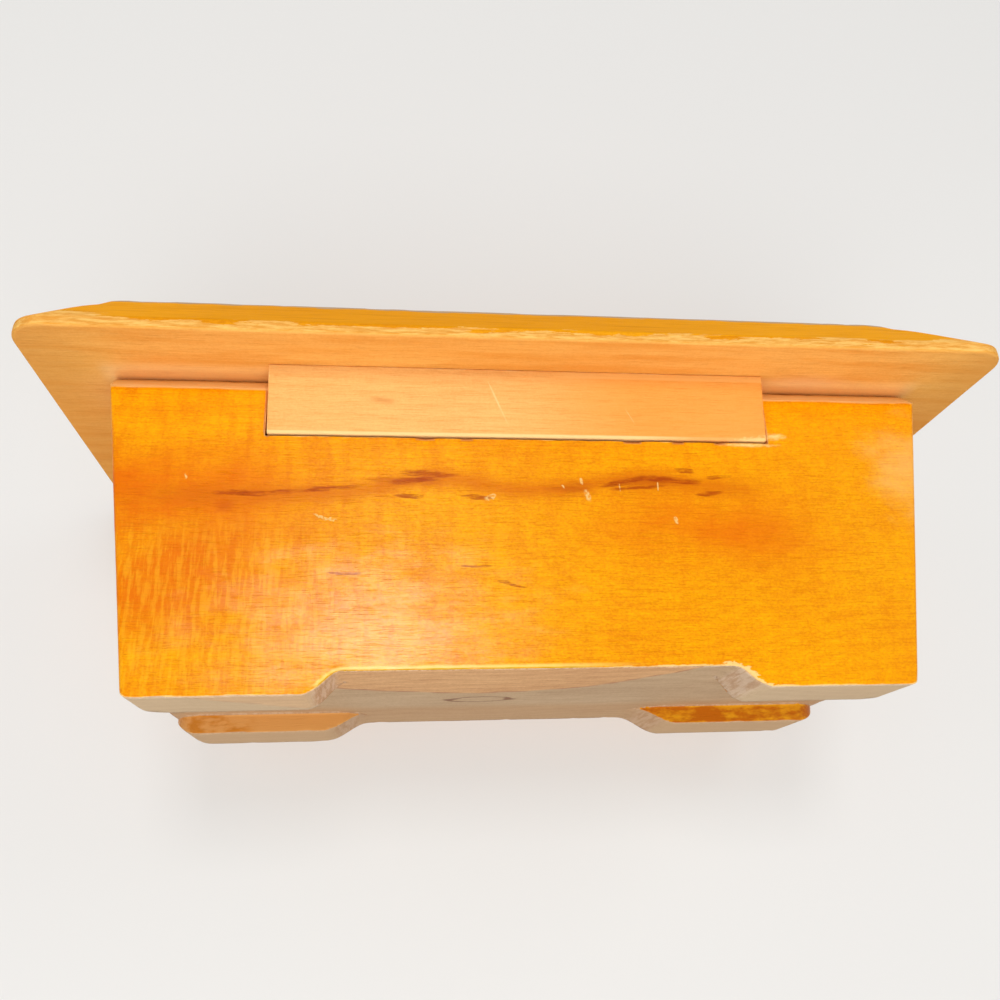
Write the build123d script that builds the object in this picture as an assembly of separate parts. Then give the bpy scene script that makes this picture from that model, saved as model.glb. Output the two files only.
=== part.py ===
from build123d import *
import math
import os

# Small carved wooden keepsake box: one hollowed block on four low feet, an overhanging lid
# with long bevelled ends, and a wooden hinge block that turns on two steel pins.
# The origin is the middle of the floor line under the feet. +Y is the back, +Z is up.

# Body block, whose ends flare a little differently
left_half_at_floor = 87.4
left_half_at_rim = 98.1
right_half_at_floor = 84.3
right_half_at_rim = 99.6
body_depth = 71.4
rim_height = 75.7
corner_radius = 1.2
rim_bevel_inset = 5.1
rim_bevel_drop = 4.7
rim_left_radius = 0.8
rim_right_radius = 3.0

# Hollow
end_wall = 12.0
front_wall = 12.0
back_wall = 14.0
hollow_floor = 14.0
hollow_corner_radius = 6.0
hollow_floor_radius = 2.5
hollow_lip = 0.8
rim_edge_margin = 2.0

# Feet
foot_height = 4.8
back_foot_depth = 18.7
front_foot_depth = 19.7
foot_plan_radius = 8.0
back_foot_outer_radius = 2.5
front_foot_outer_radius = 8.0
foot_outer_share = 0.8
foot_curl_turn = 65.0
ogee_middle_share = 0.55
ogee_toe_rise = 0.15
ogee_corner_share = 1.1
foot_overlap = 1.0
back_left_ogee = (51.5, 42.5)
back_right_ogee = (50.0, 41.0)
front_left_ogee = (50.0, 38.0)
front_right_ogee = (43.5, 31.5)

# Lid
lid_gap = 0.3
lid_length = 231.5
lid_depth = 105.4
lid_thickness = 10.0
lid_edge = 2.6
lid_left_bevel = 18.0
lid_right_bevel = 27.0
lid_side_bevel = 4.8
lid_corner_radius = 8.0
lid_top_corner_radius = 3.0
lid_arris_radius = 0.8

# Hinge block, its notch and its pivot
block_length = 119.3
block_shift = 2.05
block_height = 16.4
block_top_proud = 3.2
block_heel_proud = 0.15
block_end_gap = 0.3
block_heel_radius = 0.6
block_front_radius = 1.0
pivot_above_block_bottom = 6.4
pivot_behind_wall_face = 4.5
sweep_gap = 0.2
stop_gap = 0.2

# Hinge pins and the plugs over them
pin_diameter = 2.4
pin_in_block = 10.0
pin_clearance = 0.05
plug_diameter = 5.0
plug_length = 6.0
bore_end_gap = 0.3

# Dowels between the hinge block and the lid
dowel_diameter = 5.0
dowel_in_block = 9.0
dowel_in_lid = 6.0
dowel_count = 3
dowel_pitch = 38.0
dowel_clearance = 0.05
dowel_end_chamfer = 0.5

# Felt on the floor of the hollow
felt_thickness = 1.6
felt_gap = 0.4

# Places that follow from the sizes above
half_depth = body_depth / 2
lid_underside = rim_height + lid_gap
block_bottom = lid_underside - block_height
pivot_y = half_depth - pivot_behind_wall_face
pivot_z = block_bottom + pivot_above_block_bottom
block_back = half_depth + block_top_proud
block_front = half_depth - back_wall
block_middle_y = (half_depth + block_front) / 2
margin = 20.0


def side_at(side, height):
    """Half width of a flared end at a height. The left end is at +X."""
    floor_half = left_half_at_floor if side > 0 else right_half_at_floor
    rim_half = left_half_at_rim if side > 0 else right_half_at_rim
    return floor_half + (rim_half - floor_half) / rim_height * height


def along_y(face_on_xz, back, front):
    """Solid of an XZ outline between two Y places."""
    return extrude(Pos(0, back, 0) * face_on_xz, amount=back - front, dir=(0, -1, 0))


def xz_face(points):
    return Plane.XZ * make_face(Polyline(*points, close=True))


def flared_block(inset, low, high, front, back):
    """Block with flared ends, drawn in from the outside by an inset."""
    outline = [
        (inset - side_at(-1, low), low), (side_at(1, low) - inset, low),
        (side_at(1, high) - inset, high), (inset - side_at(-1, high), high)
    ]
    return along_y(xz_face(outline), back, front)


def corner_edges(solid):
    """The four slanted edges between the ends and the front and back faces."""
    rising = solid.edges().filter_by(lambda e: abs((e @ 1 - e @ 0).Y) < 0.01)
    return rising.filter_by(lambda e: abs((e @ 1 - e @ 0).Z) > 1.0)


def foot_mask(ogee, side, outer_radius, back, front, open_at_back):
    """Space kept solid under the block for one foot, running past the block outside."""
    toe, arch = ogee
    outer = side_at(side, 0) - outer_radius * foot_outer_share
    bottom = Line((outer, 0), (toe, 0))
    middle = ((toe + arch) / 2, foot_height * ogee_middle_share)
    rise = Spline((toe, 0), middle, (arch, foot_height), tangents=[(-1, ogee_toe_rise), (-1, 0)])
    top = foot_height + foot_overlap
    turn = math.radians(foot_curl_turn)
    curl_end = (outer + outer_radius * math.sin(turn), outer_radius * (1 - math.cos(turn)))
    curl_middle = (outer + outer_radius * math.sin(turn / 2), outer_radius * (1 - math.cos(turn / 2)))
    curl = ThreePointArc(curl_end, curl_middle, (outer, 0))
    beyond = side_at(side, 0) + margin
    cap = Polyline((arch, foot_height), (arch, top), (beyond, top), (beyond, curl_end[1]), curl_end)
    elevation = Plane.XZ * make_face([curl, bottom, rise, cap])
    if side < 0:
        elevation = mirror(elevation, about=Plane.YZ)
    prism = along_y(elevation, back, front)
    inner_x = arch - margin
    outer_x = side_at(side, foot_height)
    channel = front if open_at_back else back
    outside = back + margin if open_at_back else front - margin
    plan = Rectangle(outer_x - inner_x, abs(outside - channel))
    plan = Pos((outer_x + inner_x) / 2 * side, (outside + channel) / 2) * plan
    slab = Pos(0, 0, -foot_overlap) * extrude(plan, amount=top + 2 * foot_overlap)
    rounded = slab.edges().filter_by(Axis.Z).filter_by(lambda e: abs(e.center().Y - channel) < 0.01)
    rounded = rounded.filter_by(lambda e: abs(e.center().X) > abs(arch))
    slab = fillet(rounded, foot_plan_radius)
    return prism & slab


def ogee_corner_cut(ogee, side, channel, toward):
    """Rounds a foot in plan where its ogee meets the channel between the feet."""
    toe, arch = ogee
    centre_x = (arch + foot_plan_radius * ogee_corner_share) * side
    centre_y = channel + toward * foot_plan_radius
    square = Pos(centre_x - side * foot_plan_radius, channel) * Rectangle(2 * foot_plan_radius, 2 * foot_plan_radius)
    disc = Pos(centre_x, centre_y) * Circle(foot_plan_radius)
    return extrude(square - disc, amount=foot_height)


def make_feet():
    back_channel = half_depth - back_foot_depth
    front_channel = front_foot_depth - half_depth
    over = margin
    masks = []
    for ogee, side in ((back_left_ogee, 1), (back_right_ogee, -1)):
        mask = foot_mask(ogee, side, back_foot_outer_radius, half_depth + over, back_channel, True)
        masks.append(mask - ogee_corner_cut(ogee, side, back_channel, 1))
    for ogee, side in ((front_left_ogee, 1), (front_right_ogee, -1)):
        mask = foot_mask(ogee, side, front_foot_outer_radius, front_channel, -half_depth - over, False)
        masks.append(mask - ogee_corner_cut(ogee, side, front_channel, -1))
    return masks


def pin_span(side):
    """Inner and outer X of a pin, which ends under its plug."""
    block_end = block_shift * side + block_length / 2
    outer_end = side_at(side, pivot_z) - plug_length
    return block_end - pin_in_block, outer_end


def rod(x_low, x_high, diameter, y, z):
    """Round bar along X between two places."""
    disc = Plane.YZ * Circle(diameter / 2)
    return Pos(x_low, y, z) * extrude(disc, amount=x_high - x_low, dir=(1, 0, 0))


def pin_rod(side, diameter, inner_extra, outer_extra):
    inner, outer = pin_span(side)
    inner -= inner_extra
    outer += outer_extra
    if side > 0:
        return rod(inner, outer, diameter, pivot_y, pivot_z)
    return rod(-outer, -inner, diameter, pivot_y, pivot_z)


def rim_end_edge(block, side):
    """The top edge of the block at one end."""
    top = block.edges().filter_by(lambda e: min((e @ 0).Z, (e @ 1).Z) > rim_height - 0.01)
    across = top.filter_by(lambda e: abs((e @ 1 - e @ 0).X) < 0.01)
    return across.sort_by(Axis.X)[-1 if side > 0 else 0]


def outer_block():
    """The outside of the body before its feet are cut, with a bevel along the front and back of the rim."""
    block = flared_block(0, 0, rim_height, -half_depth, half_depth)
    bevel_start = rim_height - rim_bevel_drop
    bevel_end = half_depth - rim_bevel_inset
    section = make_face(Polyline(
        (-half_depth, 0), (half_depth, 0), (half_depth, bevel_start), (bevel_end, rim_height),
        (-bevel_end, rim_height), (-half_depth, bevel_start), close=True
    ))
    length = 2 * (right_half_at_rim + margin)
    block &= Pos(-length / 2, 0, 0) * extrude(Plane.YZ * section, amount=length, dir=(1, 0, 0))
    block = fillet(rim_end_edge(block, 1), rim_left_radius)
    block = fillet(rim_end_edge(block, -1), rim_right_radius)
    rising = block.edges().filter_by(lambda e: abs((e @ 1 - e @ 0).Z) > rim_height / 2)
    return fillet(rising, corner_radius)


def plug_rod(side, diameter, length):
    outer = side_at(side, pivot_z) + margin
    inner = side_at(side, pivot_z) - length
    if side > 0:
        return rod(inner, outer, diameter, pivot_y, pivot_z)
    return rod(-outer, -inner, diameter, pivot_y, pivot_z)


def hollow():
    space = flared_block(end_wall, hollow_floor, rim_height + margin, front_wall - half_depth, block_front)
    space = fillet(corner_edges(space), hollow_corner_radius)
    return fillet(space.edges().group_by(Axis.Z)[0], hollow_floor_radius)


def block_lean():
    """Angle by which the back face of the hinge block leans out towards the lid."""
    return math.atan2(block_top_proud - block_heel_proud, block_height)


def sweep_radius():
    """Reach of the heel of the hinge block round the pivot, with its gap."""
    heel_y = pivot_behind_wall_face + block_heel_proud - block_heel_radius
    heel_z = pivot_above_block_bottom - block_heel_radius
    return math.hypot(heel_y, heel_z) + block_heel_radius + sweep_gap


def lip_drop():
    """Depth of the notch below the pivot at the wall face, where the leaning face stops the open lid."""
    lean = block_lean()
    heel_y = pivot_behind_wall_face + block_heel_proud
    face_reach = heel_y * math.cos(lean) + pivot_above_block_bottom * math.sin(lean)
    return (face_reach + pivot_behind_wall_face * math.sin(lean) + stop_gap) / math.cos(lean)


def notch():
    """Space for the hinge block, with a scooped floor that its heel turns in."""
    radius = sweep_radius()
    lip = lip_drop()
    lip_start = math.sqrt(radius**2 - lip**2)
    outside = pivot_behind_wall_face + margin
    inside = block_front - pivot_y - hollow_corner_radius
    middle_angle = math.atan2(lip_start, lip) / 2
    scoop_middle = (radius * math.sin(middle_angle), -radius * math.cos(middle_angle))
    scoop = ThreePointArc((0, -radius), scoop_middle, (lip_start, -lip))
    high = block_height + margin
    rest = Polyline(
        (lip_start, -lip), (outside, -lip), (outside, high), (inside, high), (inside, -radius), (0, -radius)
    )
    section = Plane.YZ * make_face([scoop, rest])
    length = block_length + 2 * block_end_gap
    return Pos(block_shift - length / 2, pivot_y, pivot_z) * extrude(section, amount=length, dir=(1, 0, 0))


def is_inside_rim(place):
    """True well inside the outer edges of the rim."""
    inset = rim_bevel_inset + rim_edge_margin
    side = 1 if place.X > 0 else -1
    return abs(place.Y) < half_depth - inset and abs(place.X) < side_at(side, rim_height) - inset


def make_body():
    outer = outer_block()
    wide = left_half_at_rim + right_half_at_rim + 2 * margin
    below = Pos(0, 0, foot_height / 2 - margin / 2) * Box(wide, wide, foot_height + margin)
    for mask in make_feet():
        below -= mask
    body = outer - below - hollow()
    lip = body.edges().filter_by(lambda e: abs(e.center().Z - rim_height) < 0.01)
    inner = lip.filter_by(lambda e: e.length > hollow_lip and is_inside_rim(e.center()))
    body = chamfer(inner, hollow_lip)
    body -= notch()
    for side in (1, -1):
        body -= pin_rod(side, pin_diameter + 2 * pin_clearance, margin, bore_end_gap)
        body -= plug_rod(side, plug_diameter + 2 * pin_clearance, plug_length)
    return body


def make_plug(side):
    return plug_rod(side, plug_diameter, plug_length) & outer_block()


def make_hinge_block():
    """Bar whose back face is flush with the wall at its heel and stands proud of it at the lid."""
    top_back = (block_back, lid_underside)
    heel = (half_depth + block_heel_proud, block_bottom)
    toe = (block_front, block_bottom)
    top_front = (block_front, lid_underside)
    section = make_face(Polyline(top_back, heel, toe, top_front, close=True))
    low = section.vertices().filter_by(lambda v: v.Y < block_bottom + block_heel_radius)
    section = fillet(low.sort_by(Axis.X)[-1], block_heel_radius)
    low = section.vertices().filter_by(lambda v: v.Y < block_bottom + block_heel_radius)
    section = fillet(low.sort_by(Axis.X)[0], block_front_radius)
    bar = extrude(Plane.YZ * section, amount=block_length, dir=(1, 0, 0))
    block = Pos(block_shift - block_length / 2, 0, 0) * bar
    for side in (1, -1):
        block -= pin_rod(side, pin_diameter + 2 * pin_clearance, bore_end_gap, margin)
    for place in dowel_places():
        bore = Cylinder(dowel_diameter / 2 + dowel_clearance, 2 * (dowel_in_block + bore_end_gap))
        block -= Pos(place, block_middle_y, lid_underside) * bore
    return block


def dowel_places():
    first = block_shift - dowel_pitch * (dowel_count - 1) / 2
    return [first + dowel_pitch * number for number in range(dowel_count)]


def make_dowel(place):
    length = dowel_in_block + dowel_in_lid
    dowel = Cylinder(dowel_diameter / 2, length)
    dowel = chamfer(dowel.edges().filter_by(GeomType.CIRCLE), dowel_end_chamfer)
    return Pos(place, block_middle_y, lid_underside + (dowel_in_lid - dowel_in_block) / 2) * dowel


def make_lid():
    """Board with a thin upright edge and a bevelled top, long at the ends and short at the sides."""
    low = RectangleRounded(lid_length, lid_depth, lid_corner_radius)
    board = extrude(low, amount=lid_edge)
    board = fillet(board.edges().group_by(Axis.Z)[0], lid_arris_radius)
    top_length = lid_length - lid_left_bevel - lid_right_bevel
    top_middle = (lid_right_bevel - lid_left_bevel) / 2
    top_depth = lid_depth - 2 * lid_side_bevel
    high = RectangleRounded(top_length, top_depth, lid_top_corner_radius)
    crown = loft([Pos(0, 0, lid_edge) * low, Pos(top_middle, 0, lid_thickness) * high], ruled=True)
    lid = Pos(0, 0, lid_underside) * (board + crown)
    for place in dowel_places():
        bore = Cylinder(dowel_diameter / 2 + dowel_clearance, 2 * (dowel_in_lid + bore_end_gap))
        lid -= Pos(place, block_middle_y, lid_underside) * bore
    return lid


def make_felt():
    pad = flared_block(end_wall + felt_gap + hollow_floor_radius, hollow_floor, hollow_floor + felt_thickness,
                       front_wall - half_depth + felt_gap + hollow_floor_radius,
                       block_front - felt_gap - hollow_floor_radius)
    return fillet(corner_edges(pad), hollow_corner_radius - hollow_floor_radius)


def build():
    parts = {"body_block": make_body(), "lid_board": make_lid(), "hinge_block": make_hinge_block()}
    for name, side in (("left", 1), ("right", -1)):
        parts["hinge_pin_" + name] = pin_rod(side, pin_diameter, 0, 0)
        parts["pin_plug_" + name] = make_plug(side)
    for number, place in enumerate(dowel_places(), start=1):
        parts["hinge_dowel_" + str(number)] = make_dowel(place)
    parts["floor_lining"] = make_felt()
    return parts


os.makedirs("parts", exist_ok=True)
for node, solid in build().items():
    solid.label = node
    export_step(solid, "parts/" + node + ".step")
    print(node, round(solid.volume), "mm3")
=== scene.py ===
import math
import bmesh
import bpy
import numpy as np
from mathutils import Matrix, Vector, kdtree


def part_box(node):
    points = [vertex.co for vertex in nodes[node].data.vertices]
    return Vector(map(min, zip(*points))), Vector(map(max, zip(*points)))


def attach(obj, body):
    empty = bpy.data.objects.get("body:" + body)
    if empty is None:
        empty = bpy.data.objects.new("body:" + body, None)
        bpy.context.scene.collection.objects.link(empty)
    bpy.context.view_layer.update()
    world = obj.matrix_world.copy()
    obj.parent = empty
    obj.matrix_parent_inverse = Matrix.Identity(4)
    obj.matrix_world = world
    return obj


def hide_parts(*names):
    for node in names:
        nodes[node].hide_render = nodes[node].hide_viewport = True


# Small hand-made wooden keepsake box seen from behind and below.
# Lengths in the helpers are in millimetres unless a name says metres. +Y is the back, +Z is up.

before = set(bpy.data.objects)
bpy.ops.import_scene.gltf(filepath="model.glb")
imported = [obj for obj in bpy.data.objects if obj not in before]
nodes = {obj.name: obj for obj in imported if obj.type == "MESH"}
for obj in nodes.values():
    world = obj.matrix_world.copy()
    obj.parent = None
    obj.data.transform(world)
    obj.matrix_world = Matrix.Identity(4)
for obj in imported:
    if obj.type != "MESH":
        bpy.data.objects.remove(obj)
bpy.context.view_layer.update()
MM = 0.001

# Sizes shared with the solids
half_depth = 35.7
rim_height = 75.7
lid_underside = 76.0
lid_top = 86.0
lid_edge = 2.6
lid_half_length = 115.75
lid_half_depth = 52.7
lid_left_bevel = 18.0
lid_right_bevel = 27.0
flat_middle = (lid_right_bevel - lid_left_bevel) / 2
flat_half_length = lid_half_length - (lid_left_bevel + lid_right_bevel) / 2
flat_half_depth = 47.9
foot_height = 4.8
hollow_floor = 14.0
felt_top = 15.6
rim_bevel_drop = 4.7
rim_bevel_inset = 5.1
arris_ease = 2.5


def side_at(side, height):
    """Half width of a flared end of the body at a height. The left end is at +X."""
    low, high = (87.4, 98.1) if side > 0 else (84.3, 99.6)
    return low + (high - low) / rim_height * height


# Smooth random fields

def lattice(index, seed):
    """One repeatable random number from 0 to 1 for each row of whole numbers."""
    value = np.sin(index @ np.array([127.1, 311.7, 74.7]) + seed * 53.3) * 43758.5453
    return value - np.floor(value)


def field(points, pitch, seed):
    """Smooth noise from -1 to 1 at points in mm. The pitch is one number or one for each axis."""
    scaled = points / np.array(pitch, dtype=float)
    cell = np.floor(scaled)
    part = scaled - cell
    part = part * part * (3 - 2 * part)
    total = np.zeros(len(points))
    for corner in range(8):
        step = np.array([corner & 1, corner >> 1 & 1, corner >> 2 & 1])
        weight = np.prod(np.where(step == 1, part, 1 - part), axis=1)
        total += weight * lattice(cell + step, seed)
    return total * 2 - 1


def smooth(low, high, value):
    t = np.clip((value - low) / (high - low), 0, 1)
    return t * t * (3 - 2 * t)


# Meshes

def node_bmesh(name):
    """A working copy of a CAD node in mm, with its flat faces joined up."""
    bm = bmesh.new()
    bm.from_mesh(nodes[name].data)
    bmesh.ops.scale(bm, vec=(1 / MM, 1 / MM, 1 / MM), verts=bm.verts)
    bmesh.ops.remove_doubles(bm, verts=bm.verts, dist=0.002)
    bmesh.ops.dissolve_limit(bm, angle_limit=math.radians(0.2), verts=bm.verts, edges=bm.edges)
    return bm


def sharp_edges(bm, degrees):
    limit = math.radians(degrees)
    return [e for e in bm.edges if len(e.link_faces) == 2 and e.calc_face_angle(0) > limit]


def arris_tree(bm, degrees=35, step=0.4):
    """Points along the outward sharp edges, for measuring how far a point is from one."""
    places = []
    for e in sharp_edges(bm, degrees):
        if not e.is_convex:
            continue
        a, b = e.verts[0].co, e.verts[1].co
        count = max(2, int((b - a).length / step))
        places += [a.lerp(b, i / count) for i in range(count + 1)]
    tree = kdtree.KDTree(len(places))
    for i, p in enumerate(places):
        tree.insert(p, i)
    tree.balance()
    return tree


def round_edges(bm, radius, degrees=35, segments=2):
    bmesh.ops.bevel(bm, geom=sharp_edges(bm, degrees), offset=radius, segments=segments, profile=0.5,
                    affect="EDGES", clamp_overlap=True)


def slice_along(bm, axis, places):
    """Adds cuts across the mesh so that it can be shaped finely."""
    normal = Vector((0, 0, 0))
    normal[axis] = 1
    for place in places:
        bmesh.ops.bisect_plane(bm, geom=bm.verts[:] + bm.edges[:] + bm.faces[:], dist=1e-4,
                               plane_co=normal * place, plane_no=normal)


def coordinates(bm):
    return np.array([v.co for v in bm.verts])


def settled_normals(bm, rounds=5):
    """Vertex normals averaged with those of their neighbours, so that points near an edge move together."""
    bm.normal_update()
    bm.verts.ensure_lookup_table()
    normals = np.array([v.normal for v in bm.verts])
    pairs = np.array([(e.verts[0].index, e.verts[1].index) for e in bm.edges])
    for _ in range(rounds):
        total = normals.copy()
        np.add.at(total, pairs[:, 0], normals[pairs[:, 1]])
        np.add.at(total, pairs[:, 1], normals[pairs[:, 0]])
        normals = total / np.maximum(np.linalg.norm(total, axis=1), 1e-9)[:, None]
    return normals


def soften(bm, node, tree, seed, wave=0.08, nick=0.3, reach=1.2):
    """Hand-worked surface: slow waves all over and small dents along the sharp edges, all inward."""
    bmesh.ops.remove_doubles(bm, verts=bm.verts, dist=0.07)
    bm.verts.index_update()
    normals = settled_normals(bm)
    points = coordinates(bm)
    distance = np.array([tree.find(v.co)[2] for v in bm.verts])
    slow = 0.5 + 0.5 * field(points, (24, 13, 13), seed)
    small = 0.5 + 0.5 * field(points, (5, 2.5, 2.5), seed + 1)
    dents = np.clip(field(points, (3.2, 1.6, 1.6), seed + 2) - 0.25, 0, 1) ** 1.5
    near = 1 - smooth(0, reach, distance)
    inward = wave * (0.7 * slow + 0.3 * small) + near * nick * (dents * 1.6 + 0.25 * small)
    low, high = (np.array(corner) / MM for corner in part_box(node))
    move_points(bm, np.clip(points - normals * inward[:, None], low, high))


def move_points(bm, places):
    for v, co in zip(bm.verts, places):
        v.co = co


def edge_values(bm, tree):
    return np.array([min(tree.find(v.co)[2], 20.0) for v in bm.verts])


def finish_piece(bm, name, material, body, replaced, values):
    """Turns a working mesh into a shown piece with its per-vertex numbers."""
    bmesh.ops.triangulate(bm, faces=bm.faces, quad_method="BEAUTY", ngon_method="BEAUTY")
    bmesh.ops.scale(bm, vec=(MM, MM, MM), verts=bm.verts)
    mesh = bpy.data.meshes.new(name)
    bm.to_mesh(mesh)
    bm.free()
    for label, numbers in values.items():
        layer = mesh.attributes.new(label, "FLOAT", "POINT")
        layer.data.foreach_set("value", np.asarray(numbers, dtype=np.float32))
    mesh.polygons.foreach_set("use_smooth", np.ones(len(mesh.polygons), dtype=bool))
    mesh.set_sharp_from_angle(angle=math.radians(32))
    mesh.materials.append(material)
    piece = bpy.data.objects.new(name, mesh)
    bpy.context.scene.collection.objects.link(piece)
    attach(piece, body)
    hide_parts(*replaced)
    return piece


# Chip carving

class Chips:
    """Collects the little wedges of wood that a knife takes out of one flat face."""

    rise = 0.12

    def __init__(self, origin, across, up, outward):
        self.origin = Vector(origin)
        self.across = Vector(across)
        self.up = Vector(up)
        self.outward = Vector(outward)
        self.verts = []
        self.faces = []

    def place(self, u, v, height):
        point = self.origin + self.across * u + self.up * v + self.outward * height
        self.verts.append(tuple(point))
        return len(self.verts) - 1

    def wedge(self, path, halves, steep, closed=False):
        """V-shaped cut along a path, as wide as twice the half widths, with sides that fall by steep."""
        count = len(path)
        rings = []
        for i in range(count):
            before = path[(i - 1) % count] if closed or i > 0 else path[i]
            after = path[(i + 1) % count] if closed or i < count - 1 else path[i]
            a = np.array(path[i], dtype=float)
            back = a - np.array(before, dtype=float)
            ahead = np.array(after, dtype=float) - a
            if not back.any():
                back = ahead
            if not ahead.any():
                ahead = back
            back = back / np.linalg.norm(back)
            ahead = ahead / np.linalg.norm(ahead)
            along = back + ahead
            along = along / np.linalg.norm(along)
            side = np.array([-along[1], along[0]])
            stretch = 1 / max(0.3, float(along @ ahead))
            wide = (halves[i] + self.rise / steep) * stretch
            left = self.place(*(a + side * wide), self.rise)
            right = self.place(*(a - side * wide), self.rise)
            keel = self.place(*a, -halves[i] * steep)
            rings.append((left, right, keel))
        last = count if closed else count - 1
        for i in range(last):
            a, b = rings[i], rings[(i + 1) % count]
            for j in range(3):
                k = (j + 1) % 3
                self.faces.append((a[j], a[k], b[k], b[j]))
        if not closed:
            self.faces.append((rings[0][2], rings[0][1], rings[0][0]))
            self.faces.append(rings[-1])

    def leaf(self, start, end, half, steep=0.5, bend=0.0, segments=14, fullness=0.85):
        """A pointed oval, bent sideways if asked."""
        a = np.array(start, dtype=float)
        b = np.array(end, dtype=float)
        side = np.array([-(b - a)[1], (b - a)[0]]) / np.linalg.norm(b - a)
        path = []
        halves = []
        for i in range(segments + 1):
            t = i / segments
            bulge = math.sin(math.pi * t)
            path.append(tuple(a + (b - a) * t + side * bend * bulge))
            halves.append(max(0.03, half * bulge ** fullness))
        self.wedge(path, halves, steep)

    def chip(self, corners, depth):
        """A three-sided chip whose deepest point lies under its middle."""
        points = np.array(corners, dtype=float)
        middle = points.mean(axis=0)
        spread = 1 + self.rise / depth
        top = [self.place(*(middle + (p - middle) * spread), self.rise) for p in points]
        low = self.place(*middle, -depth)
        turn = np.cross(points[1] - points[0], points[2] - points[0])
        if turn < 0:
            top.reverse()
        self.faces.append(tuple(top))
        for i in range(3):
            self.faces.append((top[(i + 1) % 3], top[i], low))

    def rosette(self, centre, radius, petals=6, turn=0.0, half=0.125):
        """The compass-drawn flower with pointed petals, an outer row of leaves and small chips between."""
        c = np.array(centre, dtype=float)
        tips = []
        for i in range(petals):
            angle = turn + 2 * math.pi * i / petals
            ray = np.array([math.cos(angle), math.sin(angle)])
            tips.append(c + ray * radius)
            self.leaf(c + ray * radius * 0.05, c + ray * radius * 0.97, radius * half)
        for i in range(petals):
            a, b = tips[i], tips[(i + 1) % petals]
            gap = (b - a) * 0.05
            middle = (a + b) / 2 - c
            inward = -(radius * 0.02)
            self.leaf(a + gap, b - gap, radius * half * 0.72, bend=inward)
            ray = middle / np.linalg.norm(middle)
            side = np.array([-ray[1], ray[0]])
            base = c + ray * radius * 0.69
            point = c + ray * radius * 0.36
            self.chip([base + side * radius * 0.15, base - side * radius * 0.15, point], radius * 0.05)

    def ring(self, centre, radius, half, steep=0.6, segments=56):
        path = []
        for i in range(segments):
            angle = 2 * math.pi * i / segments
            path.append((centre[0] + radius * math.cos(angle), centre[1] + radius * math.sin(angle)))
        self.wedge(path, [half] * segments, steep, closed=True)

    def teeth(self, start, end, count, height, depth, share=0.88):
        """A row of three-sided chips that stand on a line."""
        a = np.array(start, dtype=float)
        b = np.array(end, dtype=float)
        along = (b - a) / count
        side = np.array([-along[1], along[0]]) / np.linalg.norm(along)
        for i in range(count):
            base = a + along * (i + (1 - share) / 2)
            far = base + along * share
            self.chip([base, far, (base + far) / 2 + side * height], depth)

    def frame(self, corners, half, steep=0.6):
        self.wedge(corners, [half] * len(corners), steep, closed=True)

    def cut(self, bm):
        """Takes the wedges out of a working mesh."""
        cutter = bpy.data.meshes.new("cutter")
        cutter.from_pydata(self.verts, [], self.faces)
        tidy = bmesh.new()
        tidy.from_mesh(cutter)
        bmesh.ops.recalc_face_normals(tidy, faces=tidy.faces)
        bmesh.ops.triangulate(tidy, faces=tidy.faces)
        tidy.to_mesh(cutter)
        tidy.free()
        board = bpy.data.meshes.new("board")
        bmesh.ops.triangulate(bm, faces=bm.faces)
        bm.to_mesh(board)
        board_object = bpy.data.objects.new("board", board)
        cutter_object = bpy.data.objects.new("cutter", cutter)
        for o in (board_object, cutter_object):
            bpy.context.scene.collection.objects.link(o)
        modifier = board_object.modifiers.new("cut", "BOOLEAN")
        modifier.operation = "DIFFERENCE"
        modifier.solver = "MANIFOLD"
        modifier.object = cutter_object
        bpy.context.view_layer.update()
        evaluated = board_object.evaluated_get(bpy.context.evaluated_depsgraph_get())
        carved = bpy.data.meshes.new_from_object(evaluated)
        bm.clear()
        bm.from_mesh(carved)
        for o in (board_object, cutter_object):
            bpy.data.objects.remove(o)
        for m in (carved, board, cutter):
            bpy.data.meshes.remove(m)
        bmesh.ops.remove_doubles(bm, verts=bm.verts, dist=0.001)
        bmesh.ops.dissolve_limit(bm, angle_limit=math.radians(0.2), verts=bm.verts, edges=bm.edges)


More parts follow.
